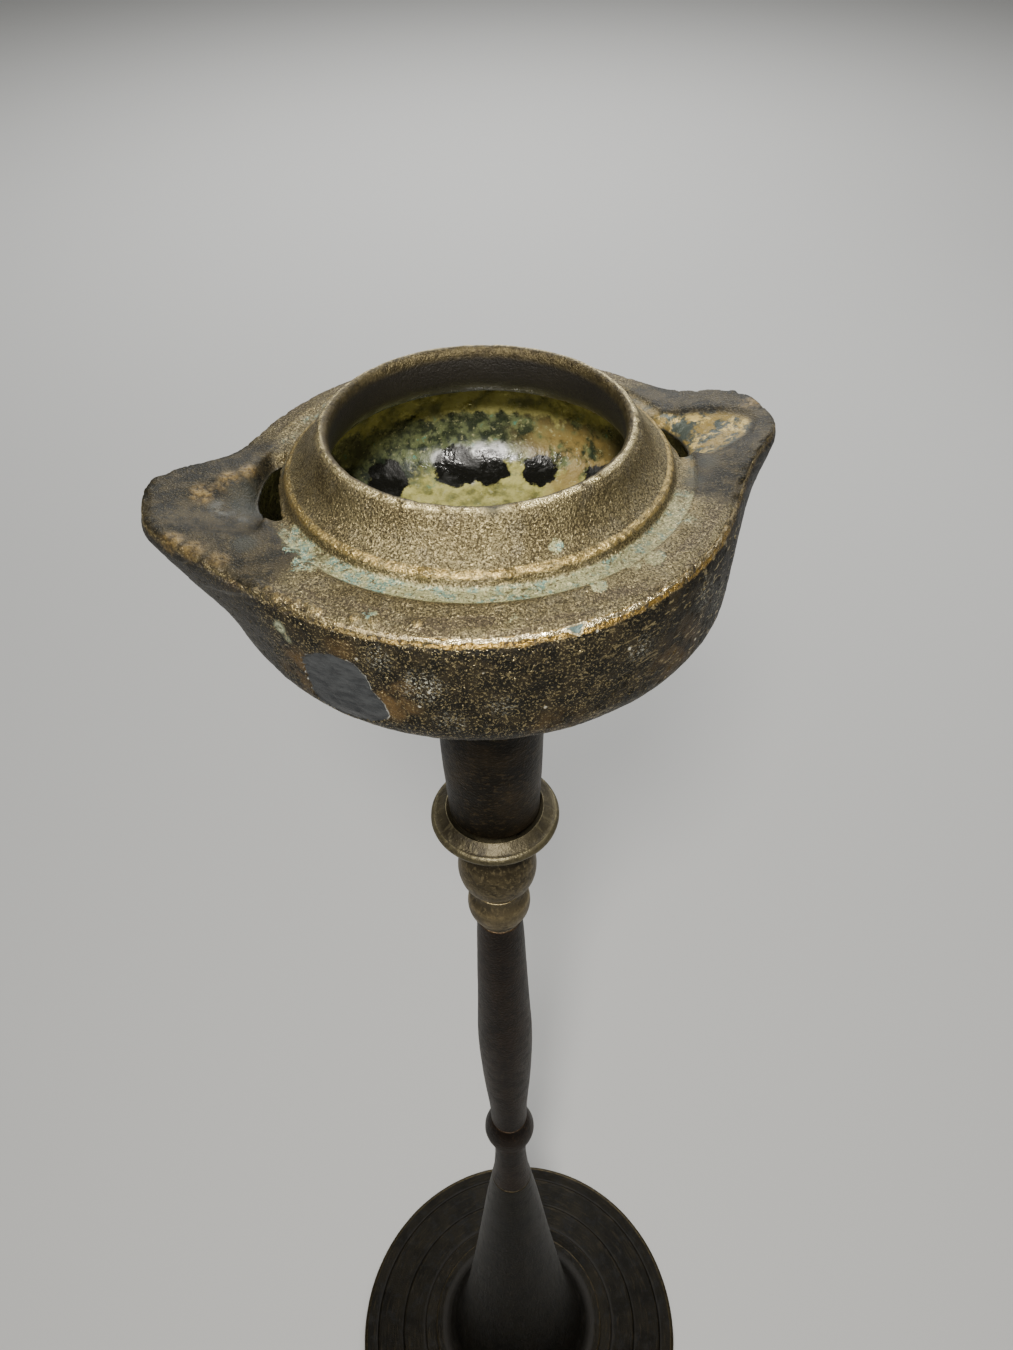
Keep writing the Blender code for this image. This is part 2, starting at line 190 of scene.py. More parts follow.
# Dark dried pools on the hollow's floor, and pale grey in the corner above them: scale, and a painted
# highlight where the corner catches the light.
POOLS = (
    (74, 40.6, 523, 7, 1), (84, 41.2, 523.2, 7.5, 1),
    (57, 40.9, 523.1, 6, 1), (107, 41.9, 523.9, 7, 1),
    (36, 41.5, 524.2, 7, 0.9), (-60, 30, 519.5, 9, 0.9),
    (-140, 34, 520.5, 9, 0.9), (160, 41, 524, 15, 1.2),
    (158, 45.4, 535, 15, 1.3), (178, 45.4, 537, 13, 1.3),
    (2, 45.4, 537, 13, 1),
)
SCALE_AND_HIGHLIGHT = (
    (71, 43.7, 525.6, 3.2, 1), (76.5, 43.7, 525.6, 3, 1),
    (83, 43.6, 525.3, 3, 0.9), (89, 43.3, 525, 2.8, 0.8),
    (79, 37.6, 521.7, 1.4, 0.9), (66, 42.5, 524.6, 1.4, 0.9),
)
# Single white specks.
WHITE = (
    (-83.5, 48, 544.3, 0.8, 1), (-104, 48.5, 530, 0.7, 1),
    (-119.5, 31.6, 556.2, 0.6, 0.7),
)

# ---- the lamp's colours; two together are the ends of a range ----
BROWN = ((0.104, 0.084, 0.041), (0.2, 0.168, 0.086))
DULL_BROWN = (0.165, 0.145, 0.095)
SHOULDER_BROWN = (0.085, 0.066, 0.042)
GRAIN_GAP = (0.034, 0.026, 0.012)
GRAIN_GOLD = (0.56, 0.46, 0.23)
WORN_GOLD = (0.52, 0.38, 0.14)
RIDGE_GOLD = (0.64, 0.47, 0.17)
LIP_GOLD = (0.66, 0.55, 0.28)
BOWL_BLACK = ((0.007, 0.006, 0.003), (0.03, 0.023, 0.011))
BOWL_GOLD = (0.54, 0.44, 0.22)
RUST_BROWN = (0.125, 0.075, 0.024)
PALE_CRUST = (0.38, 0.38, 0.31)
PALE_SPECK = (0.52, 0.5, 0.4)
NOZZLE_BLACK = (0.026, 0.025, 0.022)
NOZZLE_GREY = (0.14, 0.14, 0.13)
EDGE_OCHRE = (0.42, 0.27, 0.065)
EDGE_PIT = (0.012, 0.009, 0.006)
EDGE_WEAR_AND_HIGHLIGHT = (0.9, 0.76, 0.46)
NOZZLE_TOP = ((0.01, 0.009, 0.005), (0.04, 0.032, 0.016))
TROUGH_CRUST = ((0.04, 0.05, 0.04), (0.19, 0.135, 0.036))
TROUGH_YELLOW = (0.4, 0.3, 0.1)
OCHRE_CRUST = ((0.05, 0.034, 0.013), (0.19, 0.13, 0.045))
SMEAR_GREY = (0.085, 0.09, 0.082)
SOOT_AND_SHADE_BLACK = (0.014, 0.017, 0.012)
TUNNEL_SHADE_BLACK = (0.008, 0.009, 0.006)
OIL_GREEN = ((0.016, 0.022, 0.013), (0.085, 0.1, 0.045))
OIL_TEAL = (0.055, 0.16, 0.115)
CRUST_YELLOW = ((0.21, 0.2, 0.058), (0.35, 0.33, 0.115))
CRUST_AMBER = (0.2, 0.14, 0.04)
CRUST_CREAM = (0.34, 0.33, 0.17)
SCALE_AND_HIGHLIGHT_GREY = (0.4, 0.4, 0.4)
POOL_BLACK = (0.005, 0.005, 0.004)
CEILING_SHADE_BLACK = (0.011, 0.011, 0.009)
END_SHADE_BLACK = (0.004, 0.005, 0.004)
THROAT_SHADE_BROWN = ((0.006, 0.005, 0.004), (0.018, 0.015, 0.01))
THROAT_LIP = ((0.055, 0.043, 0.021), (0.13, 0.104, 0.048))
CRUST_GREEN = (0.3, 0.31, 0.155)
CRUST_TEAL = (0.15, 0.27, 0.215)
CRUST_GOLD = (0.6, 0.56, 0.31)
CRUST_GAP = (0.08, 0.066, 0.03)
PATCH_SLATE = ((0.02, 0.022, 0.024), (0.052, 0.056, 0.058))
PATCH_RIM_AND_HIGHLIGHT = (0.62, 0.62, 0.56)
CHIP_TEAL = ((0.05, 0.1, 0.1), (0.16, 0.21, 0.19))
CHIP_RIM = (0.66, 0.58, 0.36)
STREAK_GREEN = (0.42, 0.46, 0.3)
WHITE_SPECK = (0.85, 0.84, 0.78)
LAMP_BUMP = 0.34

# ---- camera ----
VIEW_DISTANCE = 0.17
VIEW_HEIGHT = 0.657
VIEW_TURN = math.radians(-13.5)
VIEW_PITCH = math.radians(43.63)
VIEW_YAW = math.radians(1.57)
VIEW_ROLL = math.radians(-0.864)
VIEW_LEAN = math.radians(0.61)
LENS = 27.95


# ---- outlines and meshes ----


def arc(centre, size, start, end, steps):
    """Points on an ellipse, in degrees from +radius towards +height."""
    angles = [math.radians(start + (end - start) * i / steps) for i in range(steps + 1)]
    return [(centre[0] + size[0] * math.cos(a), centre[1] + size[1] * math.sin(a)) for a in angles]


def curve_through(points, per_span):
    """A smooth Catmull-Rom line through points with any number of values each."""
    ends = [points[0], *points, points[-1]]
    line = []
    for a, b, c, d in zip(ends, ends[1:], ends[2:], ends[3:]):
        for i in range(per_span):
            t = i / per_span
            line.append(
                tuple(
                    0.5
                    * (
                        2 * b[k]
                        + (c[k] - a[k]) * t
                        + (2 * a[k] - 5 * b[k] + 4 * c[k] - d[k]) * t * t
                        + (3 * b[k] - 3 * c[k] + d[k] - a[k]) * t**3
                    )
                    for k in range(len(b))
                )
            )
    return [*line, tuple(points[-1])]


def link(name, data):
    thing = bpy.data.objects.new(name, data)
    bpy.context.scene.collection.objects.link(thing)
    return thing


def mesh_of(form, name):
    bmesh.ops.recalc_face_normals(form, faces=form.faces)
    mesh = bpy.data.meshes.new(name)
    form.to_mesh(mesh)
    form.free()
    return mesh


def loft(rings, name):
    """A closed mesh over rings of equal length, with both ends filled."""
    form = bmesh.new()
    loops = [[form.verts.new(Vector(point) * MM) for point in ring] for ring in rings]
    for low, high in zip(loops, loops[1:]):
        for i in range(len(low)):
            j = (i + 1) % len(low)
            form.faces.new((low[i], low[j], high[j], high[i]))
    form.faces.new(reversed(loops[0]))
    form.faces.new(loops[-1])
    return mesh_of(form, name)


def flattened(thing):
    """Applies the object's modifiers by taking the mesh that they make."""
    bpy.context.view_layer.update()
    mesh = bpy.data.meshes.new_from_object(thing.evaluated_get(bpy.context.evaluated_depsgraph_get()))
    thing.modifiers.clear()
    thing.data = mesh
    return mesh


def remeshed(thing, voxel):
    change = thing.modifiers.new("remesh", "REMESH")
    change.mode = "VOXEL"
    change.voxel_size = voxel * MM
    return flattened(thing)


def read(mesh):
    """The mesh's points, normals and edges as arrays, in metres."""
    points = np.empty(len(mesh.vertices) * 3)
    mesh.vertices.foreach_get("co", points)
    normals = np.empty(len(mesh.vertices) * 3)
    mesh.vertices.foreach_get("normal", normals)
    edges = np.empty(len(mesh.edges) * 2, np.int64)
    mesh.edges.foreach_get("vertices", edges)
    return points.reshape(-1, 3), normals.reshape(-1, 3), edges.reshape(-1, 2)


def write(mesh, points):
    mesh.vertices.foreach_set("co", np.ascontiguousarray(points, np.float32).ravel())
    mesh.update()


def smoothed(values, edges, rounds):
    """Values at each point, evened out with their neighbours' over some rounds."""
    number = len(values)
    flat = values.reshape(number, -1)
    neighbours = np.maximum(np.bincount(edges.ravel(), minlength=number), 1)[:, None]
    for _ in range(rounds):
        total = np.stack(
            [
                np.bincount(edges[:, 0], column[edges[:, 1]], number)
                + np.bincount(edges[:, 1], column[edges[:, 0]], number)
                for column in flat.T
            ],
            axis=1,
        )
        flat = flat + 0.5 * (total / neighbours - flat)
    return flat.reshape(values.shape)


def clouds(points, size, shift=0.0):
    """Fractal noise from about -1 to 1 at each point, with lumps of the given size in metres."""
    return np.array([noise.fractal(p, 1.0, 2.0, 3) for p in (points / size + shift).tolist()])


def step(values, low, high):
    """0 below low and 1 above high, smooth between."""
    t = np.clip((values - low) / (high - low), 0, 1)
    return t * t * (3 - 2 * t)


def give(mesh, name, values):
    """Stores a number at each point, which the materials read by name."""
    layer = mesh.attributes.new(name, "FLOAT", "POINT")
    layer.data.foreach_set("value", np.ascontiguousarray(values, np.float32))


def give_relief(mesh, fine, broad):
    """Stores how far each point is raised over, or sunk into, the surface around it."""
    points, normals, edges = read(mesh)
    for name, rounds in (("fine_relief", fine), ("broad_relief", broad)):
        height = ((points - smoothed(points, edges, rounds)) * normals).sum(1)
        give(mesh, name, height / MM)


# ---- the lamp's body ----


def nozzle_lift(angle):
    """How far the outline stands out at this angle, and the share of the rim's rise, over both nozzles."""
    reach, rise = 0.0, 0.0
    for nozzle in NOZZLES:
        off = (math.degrees(angle) - nozzle.turn + 180) % 360 - 180
        towards_front = (off < 0) == (nozzle.side == "right")
        half_angle, power = nozzle.front if towards_front else nozzle.back
        reach += nozzle.reach / (1 + (abs(off) / half_angle) ** power)
        rise += 1 / (1 + (abs(off) / RISE_HALF_ANGLE) ** 4)
    return reach, rise


def beak_share(height):
    depth = EDGE_HEIGHT - height
    return max(0.0, min(1.0, (BEAK_DEPTH - depth) / (BEAK_DEPTH - BEAK_THICKNESS))) ** BEAK_CURVE


def outer_points():
    """Rows of radius, height, share of the nozzle's reach and share of its rise, from the seat up."""
    bowl = [(SEAT_RADIUS - 0.1, FLOOR_UNDERSIDE), (SEAT_RADIUS, FLOOR_UNDERSIDE), (22.0, 514.3)]
    bowl += arc(BOWL_TURN, BOWL_TURN_SIZE, -90, 0, 27)
    bowl += curve_through([bowl[-1], (48.6, 535.5), (48.5, 540.5), (48.0, 544.5), (47.3, 547.0)], 4)[1:]
    rows = [(r, z, beak_share(z), max(0.0, 1 - (EDGE_HEIGHT - z) / 8)) for r, z in bowl]
    for r, z in arc((EDGE_RADIUS - 0.7, EDGE_HEIGHT - 0.7), (0.7, 0.7), 0, 80, 4):
        rows.append((r, z, 1.0, 1.0))
    for share in (0.86, 0.72, 0.56, 0.4, 0.2):
        r = GROOVE_RADIUS + (EDGE_RADIUS - GROOVE_RADIUS) * share
        rows.append((r, EDGE_HEIGHT + SHOULDER_RISE * (1 - share), share, share))
    top = EDGE_HEIGHT + SHOULDER_RISE
    rows += [(GROOVE_RADIUS + 0.4, top, 0, 0), (GROOVE_RADIUS, top - 0.1, 0, 0)]
    rows += [(GROOVE_RADIUS - 0.7, GROOVE_FLOOR, 0, 0), (STEP_RADIUS + 0.7, GROOVE_FLOOR, 0, 0)]
    rows += [(STEP_RADIUS, STEP_HEIGHT - 0.3, 0, 0), (STEP_RADIUS - 0.6, STEP_HEIGHT, 0, 0)]
    collar = [(34.6, STEP_HEIGHT + 0.5), (32.6, STEP_HEIGHT + 2.2), (31.1, STEP_HEIGHT + 4.4)]
    lip = [(30.4, CREST - 2.4), (29.7, CREST - 1.1), (29.0, CREST - 0.3), (28.3, CREST)]
    collar = curve_through([*collar, *lip], 4)
    return rows + [(r, z, 0, 0) for r, z in collar]


def inner_points():
    """The reservoir's outline, from the lip's inner side down to the floor."""
    lip = [(27.7, CREST - 0.2), (27.2, CREST - 0.9), (27.1, CREST - 2.0)]
    line = curve_through([*lip, (27.1, 555.0), (27.9, 551.6), (30.4, 548.6), (34.0, 547.0), (42.0, 545.8)], 4)
    line += [(44.2, 544.6), (45.0, 542.4), (45.4, 536.0)]
    size = (BOWL_TURN_SIZE[0] - WALL, BOWL_TURN_SIZE[1] - WALL)
    line += arc(BOWL_TURN, size, 0, -90, 20)
    return [(r, z, 0, 0) for r, z in [*line, (20.0, 517.4), (14.0, 515.4)]]


def lamp_ring(radius, height, reach, rise):
    ring = []
    for i in range(LAMP_SIDES):
        angle = 2 * math.pi * i / LAMP_SIDES
        out, up = nozzle_lift(angle)
        out = radius + reach * (out - EDGE_OFFSET * math.sin(angle))
        up = height + rise * NOZZLE_RISE * up
        ring.append((out * math.cos(angle), out * math.sin(angle), up))
    return ring


def trough_form(nozzle):
    """What is cut out for the wick: an open trough with a hole that dives under the collar."""
    start = WICK_HOLE[-1][0]
    end = EDGE_RADIUS + nozzle.reach - TROUGH_MARGIN
    rows = [(*row, nozzle.hole) for row in WICK_HOLE]
    rows += [(start + share * (end - start), *rest, 0.0) for share, *rest in TROUGH]
    rings = []
    for distance, floor, top, half_width, turn in curve_through(rows, 4):
        middle, half_height = (floor + top) / 2, (top - floor) / 2
        wider = 1 + HOLE_WIDENING * abs(turn)
        spread = wider * nozzle.width * half_width / distance
        ring = []
        for i in range(TROUGH_SIDES):
            around = 2 * math.pi * i / TROUGH_SIDES
            off = math.radians(nozzle.turn + turn) + spread * math.cos(around)
            height = middle + half_height * math.sin(around)
            ring.append((distance * math.cos(off), distance * math.sin(off), height))
        rings.append(ring)
    return loft(rings, f"trough_{nozzle.side}_form")


def square_form(side, low, high):
    corners = [(-side / 2, -side / 2), (side / 2, -side / 2), (side / 2, side / 2), (-side / 2, side / 2)]
    return loft([[(x, y, z) for x, y in corners] for z in (low, high)], "square_form")


def cut_away(thing, forms):
    tools = [link(form.name, form) for form in forms]
    for tool in tools:
        opening = thing.modifiers.new(tool.name, "BOOLEAN")
        opening.operation = "DIFFERENCE"
        opening.solver = "EXACT"
        opening.object = tool
    flattened(thing)
    for tool in tools:
        bpy.data.objects.remove(tool)


def lamp_body():
    rings = [lamp_ring(*row) for row in [*outer_points(), *inner_points()]]
    body = link("lamp_casting", loft(rings, "lamp_casting"))
    forms = [trough_form(nozzle) for nozzle in NOZZLES]
    forms.append(square_form(SOCKET_SIDE, FLOOR_UNDERSIDE - 4, FLOOR_UNDERSIDE + 8))
    cut_away(body, forms)
    mesh = remeshed(body, LAMP_VOXEL)
    weather_lamp(mesh)
    return body


def line_gap(place, a, b):
    """Each flat place's distance from the straight line between two corners."""
    start, along = np.array(a), np.array(b) - np.array(a)
    share = np.clip(((place - start) @ along) / (along @ along), 0, 1)
    return np.linalg.norm(place - start - share[:, None] * along, axis=1)


def outline_gap(points, outline):
    """Each point's distance from a turned outline of (radius, height), all in millimetres."""
    place = np.stack([np.hypot(points[:, 0], points[:, 1]), points[:, 2]], axis=1) / MM
    nearest = np.full(len(place), 1e9)
    for a, b in zip(outline, outline[1:]):
        nearest = np.minimum(nearest, line_gap(place, a, b))
    return nearest


def spots(points, places):
    """The strongest of several soft round spots, each (angle, radius, height, size, strength)."""
    total = np.zeros(len(points))
    for angle, radius, height, size, strength in places:
        turn = math.radians(angle)
        middle = np.array([radius * math.cos(turn), radius * math.sin(turn), height]) * MM
        away = np.linalg.norm(points - middle, axis=1) / MM
        total = np.maximum(total, strength * (1 - step(away, 0.35 * size, size)))
    return total


def inside_polygon(across, height, corners):
    """How far each point is inside a flat outline: below 0 outside it."""
    nearest = np.full(len(across), 1e9)
    inside = np.zeros(len(across), bool)
    place = np.stack([across, height], axis=1)
    for a, b in zip(corners, [*corners[1:], corners[0]]):
        nearest = np.minimum(nearest, line_gap(place, a, b))
        if a[1] != b[1]:
            crosses = (height < a[1]) != (height < b[1])
            inside ^= crosses & (across < a[0] + (height - a[1]) / (b[1] - a[1]) * (b[0] - a[0]))
    return np.where(inside, nearest, -nearest)


def cells(points, size, shift):
    """Distance to the nearest of many scattered places, as a share of their spacing."""
    return np.array([noise.voronoi(p)[0][0] for p in (points / (size * MM) + shift).tolist()])


def weather_lamp(mesh):
    """Casting faults, wear and knocks as real relief, and the places of every stain and crust."""
    points, _, edges = read(mesh)
    angle = np.arctan2(points[:, 1], points[:, 0])
    radius = np.hypot(points[:, 0], points[:, 1]) / MM
    height = points[:, 2] / MM
    turns = np.linspace(-math.pi, math.pi, OUTLINE_SAMPLES)
    lift = np.array([nozzle_lift(a) for a in turns])
    outline = EDGE_RADIUS + np.interp(angle, turns, lift[:, 0]) - EDGE_OFFSET * np.sin(angle)
    rise = NOZZLE_RISE * np.interp(angle, turns, lift[:, 1])
    share = np.clip((radius - GROOVE_RADIUS) / (outline - GROOVE_RADIUS), 0, 1)
    shoulder = EDGE_HEIGHT + SHOULDER_RISE * (1 - share) + share * rise
    # The edge gap is above 0 inwards over the shoulder, and below 0 down the bowl's side.
    edge_gap = (outline - radius) - (EDGE_HEIGHT + rise - height)
    hollow = outline_gap(points, [(r, z) for r, z, *_ in inner_points()])
    inside = 1 - step(hollow, 0.35, 0.7)
    beside_nozzle = step(rise, 0.25, 0.9)
    sunk = (shoulder - height) * (radius > GROOVE_RADIUS - 3) * (edge_gap > 0.6) * beside_nozzle
    trough = smoothed(step(sunk, 0.1, 0.4), edges, 24)

    # A cast trough has no crisp corners, and the rest only slightly softened ones.
    softer = smoothed(points, edges, 60)
    points = smoothed(points, edges, 1)
    soften = np.clip(trough * 2.5, 0, 1) * step(radius, 41.0, 44.0) * step(edge_gap, 0.8, 2.2)
    points = points + (softer - points) * soften[:, None]
    write(mesh, points)
    points, normals, edges = read(mesh)

    degrees = np.degrees(angle)
    outside = (1 - inside) * (1 - step(sunk, 0.2, 0.8))
    bowl = outside * step(-edge_gap, 0.2, 1.2) * step(height, FLOOR_UNDERSIDE + 1, FLOOR_UNDERSIDE + 4)
    crest = step(height, CREST - 2.2, CREST - 0.3)
    on_edge = outside * (1 - step(np.abs(edge_gap), 0.6, 1.8))

    relief = clouds(points, 0.013) * 0.11 + clouds(points, 0.005, 3.0) * 0.05 - 0.03
    nibbled = np.clip(clouds(points, 0.0019, 11.0) + 0.05, 0, 1)
    relief -= on_edge * nibbled * 0.6
    relief -= crest * (0.14 + np.clip(clouds(points, 0.003, 4.0), 0, 1) * 0.22)
    ridge = np.exp(-(((radius - 35.6) / 0.42) ** 2)) * step(height, STEP_HEIGHT - 1, STEP_HEIGHT - 0.2)
    broken = 0.06 + np.clip(clouds(points, 0.0028, 21.0) + 0.2, 0, 1) * 0.34
    broken *= 0.3 + 0.7 * np.exp(-(((degrees + 100) / 42) ** 2))
    relief += ridge * (1 - inside) * broken
    pitted = cells(points, 2.1, 5.0)
    relief -= bowl * (1 - step(pitted, 0.12, 0.36)) * 0.16
    relief += bowl * clouds(points, 0.0013, 9.0) * 0.07
    in_groove = np.exp(-(((radius - 38.6) / 1.5) ** 4)) * outside * (height > GROOVE_FLOOR - 1.5)
    relief += in_groove * (0.18 + clouds(points, 0.0016, 31.0) * 0.22)
    relief += spots(points, LUMPS)
    for at, across in BUBBLES:
        turn = math.radians(at)
        reach = float(np.interp(turn, turns, lift[:, 0])) + EDGE_RADIUS - across
        level = EDGE_HEIGHT + NOZZLE_RISE * float(np.interp(turn, turns, lift[:, 1])) + 0.2
        relief += spots(points, [(at, reach, level, BUBBLE_SIZE, BUBBLE_HEIGHT)])

    patch = inside_polygon(degrees, height, PATCH)
    patch = np.where(outside > 0.5, patch, -9.0)
    arc_length = np.radians(degrees - CHIP_ANGLE) * outline
    chip = inside_polygon(arc_length, edge_gap, CHIP)
    chip = np.where(outside > 0.5, chip, -9.0)
    relief -= step(patch, -0.15, 0.35) * 0.34
    relief -= step(chip, -0.1, 0.5) * 0.42
    relief += (1 - step(np.abs(chip + 0.25), 0.1, 0.45)) * 0.16

    ceiling = 1 - step(height, CREST - 0.8, CREST)
    relief = np.where(relief > 0, relief * ceiling, relief)
    write(mesh, points + normals * relief[:, None] * MM)
    give_relief(mesh, 5, 50)
    points, _, _ = read(mesh)
    for name, values in (
        ("edge_gap", edge_gap),
        ("sunk", smoothed(sunk, edges, 4)),
        ("inside", inside),
        ("nozzle", beside_nozzle),
        ("patch", patch),
        ("chip", chip),
        ("verdigris", np.interp(degrees, *zip(*VERDIGRIS))),
        ("verdigris_spot", spots(points, VERDIGRIS_SPOTS)),
        ("rust", spots(points, RUST)),
        ("pale", spots(points, PALE)),
        ("streak", spots(points, STREAKS)),
        ("soot_and_shade", spots(points, SOOT_AND_SHADE)),
        ("ochre", spots(points, OCHRE)),
        ("slate", spots(points, SLATE)),
        ("pools", spots(points, POOLS)),
        ("scale_and_highlight", spots(points, SCALE_AND_HIGHLIGHT)),
        ("white", spots(points, WHITE)),
    ):
        give(mesh, name, values)
    mesh.shade_smooth()


# ---- turned pieces, made again from the CAD's own outlines with finer steps ----


def outline_of(node):
    """The closed outline of a turned CAD node, as (radius, height) in millimetres."""
    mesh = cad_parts[node].data
    on_line = {}
    for vertex in mesh.vertices:
        x, y, z = vertex.co / MM
        if abs(y) < 0.005 and x > 0:
            on_line[vertex.index] = (round(x, 3), round(z, 3))
    beside = {}
    for edge in mesh.edges:
        a, b = (on_line.get(i) for i in edge.vertices)
        if a and b and a != b:
            beside.setdefault(a, set()).add(b)
            beside.setdefault(b, set()).add(a)
    start = min(beside)
    walk = [start]
    while True:
        ahead = sorted(beside[walk[-1]] - set(walk[-2:]))
        ahead = [point for point in ahead if point not in walk[1:]]
        if not ahead or ahead[0] == start:
            return walk
        walk.append(ahead[0])


def fine_outline(outline, spacing):
    """The outline with points close together: gentle bends become curves and sharp ones small rounds."""
    count = len(outline)
    points = [np.array(point) for point in outline]
    sharp = []
    for i in range(count):
        before, after = points[i] - points[i - 1], points[(i + 1) % count] - points[i]
        bend = abs((math.atan2(*after[::-1]) - math.atan2(*before[::-1]) + math.pi) % (2 * math.pi) - math.pi)
        sharp.append(math.degrees(bend) > SHARP_BEND)
    fine = []
    for i in range(count):
        a, b = points[i], points[(i + 1) % count]
        before = a if sharp[i] else points[i - 1]
        after = b if sharp[(i + 1) % count] else points[(i + 2) % count]
        steps = max(1, math.ceil(np.linalg.norm(b - a) / spacing))
        for k in range(steps):
            t = k / steps
            if k == 0 and sharp[i]:
                back, on = points[i - 1] - a, b - a
                back_length, on_length = np.linalg.norm(back), np.linalg.norm(on)
                reach = min(SHARP_ROUND, back_length / 3, on_length / 3)
                back, on = back / back_length, on / on_length
                fine += [a + back * reach, a + (back + on) * reach * 0.3, a + on * reach]
                continue
            slope_a, slope_b = (b - before) / 2, (after - a) / 2
            if sharp[i]:
                slope_a = b - a
            if sharp[(i + 1) % count]:
                slope_b = b - a
            fine.append(
                a * (2 * t**3 - 3 * t**2 + 1)
                + slope_a * (t**3 - 2 * t**2 + t)
                + b * (3 * t**2 - 2 * t**3)
                + slope_b * (t**3 - t**2)
            )
    return [tuple(point) for point in fine]


def turned(name, node, spacing, sides):
    """A turned piece in place of a CAD node, spun finely and weathered a little inwards."""
    form = bmesh.new()
    line = fine_outline(outline_of(node), spacing)
    points = [form.verts.new(Vector((r, 0, z)) * MM) for r, z in line]
    lines = [form.edges.new((a, b)) for a, b in zip(points, [*points[1:], points[0]])]
    bmesh.ops.spin(
        form,
        geom=[*points, *lines],
        axis=(0, 0, 1),
        cent=(0, 0, 0),
        angle=2 * math.pi,
        steps=sides,
        use_merge=True,
    )
    mesh = mesh_of(form, name)
    weather(mesh)
    return link(name, mesh)


def worn_copy(name, node):
    """A CAD node's shape with softened corners and a weathered surface."""
    thing = link(name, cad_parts[node].data.copy())
    mesh = remeshed(thing, IRON_VOXEL)
    points, _, edges = read(mesh)
    write(mesh, smoothed(points, edges, 2))
    weather(mesh)
    return thing


def weather(mesh):
    """Low lumps and fine pits, pressed inwards."""
    points, normals, _ = read(mesh)
    lumps = (clouds(points, 0.011) - 1) * LUMP
    pits = -np.clip(clouds(points, 0.0026, 5.0) - 0.2, 0, 1) * PIT
    write(mesh, points + normals * (lumps + pits)[:, None] * MM)
    give_relief(mesh, 4, 30)
    mesh.shade_smooth()


# ---- materials ----


class Paint:
    """A short way to write a material's nodes. Sizes of patterns are in millimetres."""

    def __init__(self, name):
        self.material = bpy.data.materials.new(name)
        self.material.use_nodes = True
        self.tree = self.material.node_tree
        self.shader = self.tree.nodes["Principled BSDF"]
        self.place = self.tree.nodes.new("ShaderNodeTexCoord").outputs["Object"]

    def link(self, value, socket):
        if isinstance(value, bpy.types.NodeSocket):
            self.tree.links.new(value, socket)
        elif isinstance(value, tuple) and len(value) == 3 and socket.type == "RGBA":
            socket.default_value = (*value, 1.0)
        else:
            socket.default_value = value

    def set(self, **values):
        for name, value in values.items():
            self.link(value, self.shader.inputs[name.replace("_", " ")])

    def node(self, kind, *values, **settings):
        made = self.tree.nodes.new("ShaderNode" + kind)
        for name, value in settings.items():
            setattr(made, name, value)
        for socket, value in zip(made.inputs, values):
            self.link(value, socket)
        return made

    def attribute(self, name):
        return self.node("Attribute", attribute_name=name).outputs["Fac"]

    def part_of_place(self, axis):
        return self.times(self.node("SeparateXYZ", self.place).outputs[axis], 1 / MM)

    def vector(self, operation, *values):
        return self.node("VectorMath", *values, operation=operation).outputs[0]

    def flat_place(self):
        return self.vector("MULTIPLY", self.place, (1.0, 1.0, 0.0))

    def radius(self):
        length = self.node("VectorMath", self.flat_place(), operation="LENGTH").outputs["Value"]
        return self.times(length, 1 / MM)

    def around(self, spread):
        """Coordinates that change slowly around the axis and at true size across and up."""
        ring = self.vector("MULTIPLY", self.vector("NORMALIZE", self.flat_place()), (spread * MM,) * 3)
        up = self.vector("MULTIPLY", self.place, (0.0, 0.0, 1.0))
        out = self.node("CombineXYZ", 0.0, 0.0, self.times(self.radius(), MM)).outputs[0]
        return self.vector("ADD", self.vector("ADD", ring, up), out)

    def pattern(self, kind, place, size, shift):
        """A pattern's node, with the pattern sized to the given size."""
        scaled = self.node("Mapping", place)
        scaled.inputs["Scale"].default_value = (1 / (size * MM),) * 3
        scaled.inputs["Location"].default_value = shift
        made = self.node(kind, scaled.outputs[0])
        made.inputs["Scale"].default_value = 1.0
        return made

    def noise(self, size, detail=4.0, rough=0.55, shift=0.0, place=None):
        shift = (shift, shift * 1.7, shift * 0.6)
        made = self.pattern("TexNoise", place or self.place, size, shift)
        made.inputs["Detail"].default_value = detail
        made.inputs["Roughness"].default_value = rough
        return made.outputs["Fac"]

    def cells(self, size, shift):
        shift = (shift, shift * 1.3, shift * 0.4)
        return self.pattern("TexVoronoi", self.place, size, shift).outputs["Distance"]

    def ramp(self, value, low, high, start=0.0, end=1.0):
        made = self.node("MapRange", interpolation_type="SMOOTHSTEP")
        sockets = ("Value", "From Min", "From Max", "To Min", "To Max")
        for name, given in zip(sockets, (value, low, high, start, end)):
            self.link(given, made.inputs[name])
        return made.outputs["Result"]

    def band(self, value, low, high, soft):
        """1 between low and high, falling to 0 over the soft distance outside them."""
        return self.times(self.ramp(value, low - soft, low), self.ramp(value, high, high + soft, 1.0, 0.0))

    def math(self, operation, a, b=0.0):
        return self.node("Math", a, b, operation=operation).outputs[0]

    def times(self, *values):
        product = values[0]
        for value in values[1:]:
            product = self.math("MULTIPLY", product, value)
        return product

    def plus(self, *values):
        total = values[0]
        for value in values[1:]:
            total = self.math("ADD", total, value)
        return total

    def without(self, value):
        return self.math("SUBTRACT", 1.0, value)

    def level(self, share, a, b):
        """A plain number between a and b."""
        return self.plus(self.times(share, self.math("SUBTRACT", b, a)), a)

    def mix(self, share, a, b):
        made = self.node("Mix", data_type="RGBA")
        self.link(share, made.inputs["Factor"])
        self.link(a, made.inputs[6])
        self.link(b, made.inputs[7])
        return made.outputs[2]

    def bump(self, height, distance):
        made = self.node("Bump")
        made.inputs["Distance"].default_value = distance * MM
        self.link(height, made.inputs["Height"])
        return made.outputs["Normal"]


